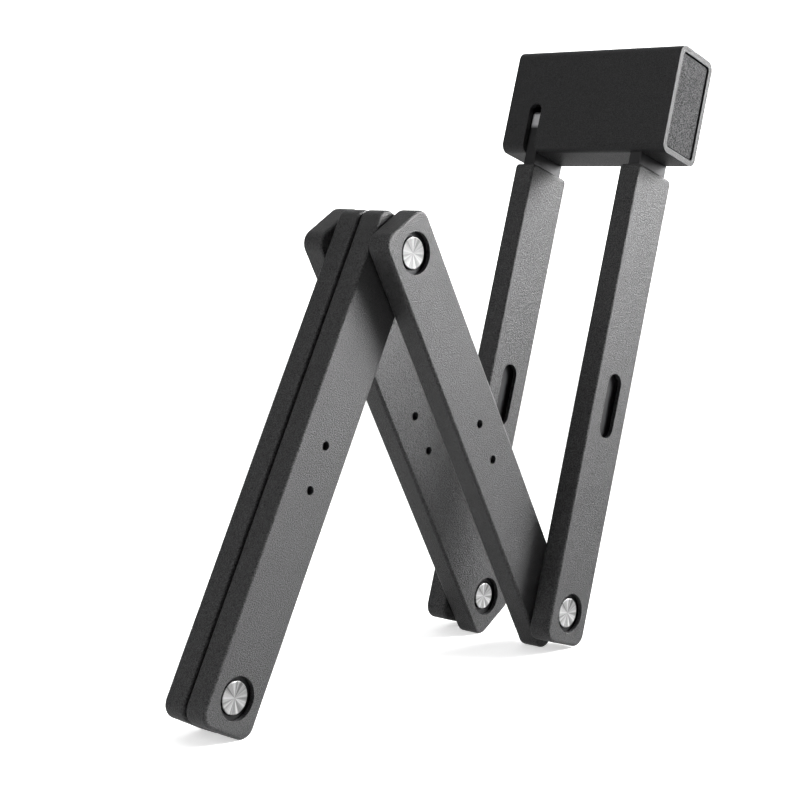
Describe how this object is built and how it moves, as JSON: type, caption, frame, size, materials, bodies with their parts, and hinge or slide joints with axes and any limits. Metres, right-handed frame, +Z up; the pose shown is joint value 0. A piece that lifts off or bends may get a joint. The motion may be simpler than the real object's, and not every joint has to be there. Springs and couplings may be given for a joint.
{
  "type": "folding bike lock",
  "caption": "Folding bike lock: a keyed lock body and flat sleeved steel links on rivets, standing closed in a zigzag with the end link latched in the lock body.",
  "frame": {"origin": "on the ground, under the middle of the bounding box of the standing lock", "axes": "+Z up; +Y along the rivets, from the first link to the rear; +X from the folded links towards the lock body"},
  "size_m": [0.219, 0.0702, 0.2001],
  "materials": {
    "sleeve": "fine matte grain, black",
    "core_steel": "hardened steel, dark",
    "rivet_steel": "turned, brushed in circles",
    "body_shell": "black powder coat",
    "end_plate": "dark grey with a metallic grain",
    "cylinder_brass": "machined"
  },
  "bodies": {
    "lock_body": {"housing": "body_shell", "front_plate": "end_plate", "rear_plate": "end_plate", "core_block": "core_steel", "anchor_pin_1": "rivet_steel", "anchor_pin_2": "rivet_steel", "cylinder_shell": "cylinder_brass", "cylinder_screw": "core_steel", "cover_pin": "rivet_steel", "link_1_core": "core_steel", "link_1_sleeve": "sleeve", "rivet_1": "rivet_steel", "washer_1": "rivet_steel"},
    "link_2": {"link_2_core": "core_steel", "link_2_sleeve": "sleeve", "rivet_2": "rivet_steel", "washer_2": "rivet_steel"},
    "link_3": {"link_3_core": "core_steel", "link_3_sleeve": "sleeve", "rivet_3": "rivet_steel", "washer_3": "rivet_steel"},
    "link_4": {"link_4_core": "core_steel", "link_4_sleeve": "sleeve"},
    "link_5": {"link_5_core": "core_steel", "link_5_sleeve": "sleeve", "rivet_4": "rivet_steel", "washer_4": "rivet_steel", "rivet_5": "rivet_steel", "washer_5": "rivet_steel"},
    "link_6": {"link_6_core": "core_steel", "link_6_sleeve": "sleeve"},
    "key_plug": {"key_plug": "cylinder_brass", "disc_1": "rivet_steel", "disc_2": "rivet_steel", "disc_3": "rivet_steel", "disc_4": "rivet_steel", "disc_5": "rivet_steel", "disc_6": "rivet_steel", "sidebar": "core_steel", "bolt_cam": "core_steel"},
    "locking_bolt": {"locking_bolt": "rivet_steel"},
    "keyhole_cover": {"keyhole_cover": "body_shell"}
  },
  "joints": [
    {"name": "pivot_1", "type": "hinge", "parent": "lock_body", "child": "link_2", "pos_m": [0.03888, -0.01895, 0.01266], "axis": [0, 1, 0], "range_deg": [-132, 47.4]},
    {"name": "pivot_2", "type": "hinge", "parent": "link_2", "child": "link_3", "pos_m": [-0.02899, -0.01005, 0.1351], "axis": [0, -1, 0], "range_deg": [-122, 58]},
    {"name": "pivot_5", "type": "hinge", "parent": "lock_body", "child": "link_5", "pos_m": [0.03888, 0.01665, 0.01266], "axis": [0, 1, 0], "range_deg": [-132, 47.4]},
    {"name": "pivot_4", "type": "hinge", "parent": "link_5", "child": "link_4", "pos_m": [-0.02899, 0.00775, 0.1351], "axis": [0, -1, 0], "range_deg": [-122, 58]},
    {"name": "latch_swing", "type": "hinge", "parent": "lock_body", "child": "link_6", "pos_m": [0.03888, 0.01665, 0.01266], "axis": [0, 1, 0], "range_deg": [-209, 0]},
    {"name": "plug_turn", "type": "hinge", "parent": "lock_body", "child": "key_plug", "pos_m": [0.09693, -0.00115, 0.18715], "axis": [0, 1, 0], "range_deg": [0, 90]},
    {"name": "bolt_slide", "type": "slide", "parent": "lock_body", "child": "locking_bolt", "axis": [0, 1, 0], "range_m": [0, 0.0075]},
    {"name": "cover_swing", "type": "hinge", "parent": "lock_body", "child": "keyhole_cover", "pos_m": [0.0914, -0.00115, 0.17055], "axis": [0, 1, 0], "range_deg": [0, 110]}
  ],
  "couplings": [
    {"joint": "pivot_5", "follows": "pivot_1", "ratio": 1},
    {"joint": "pivot_4", "follows": "pivot_2", "ratio": 1},
    {"joint": "bolt_slide", "follows": "plug_turn", "m_per_rad": 0.0047746}
  ]
}
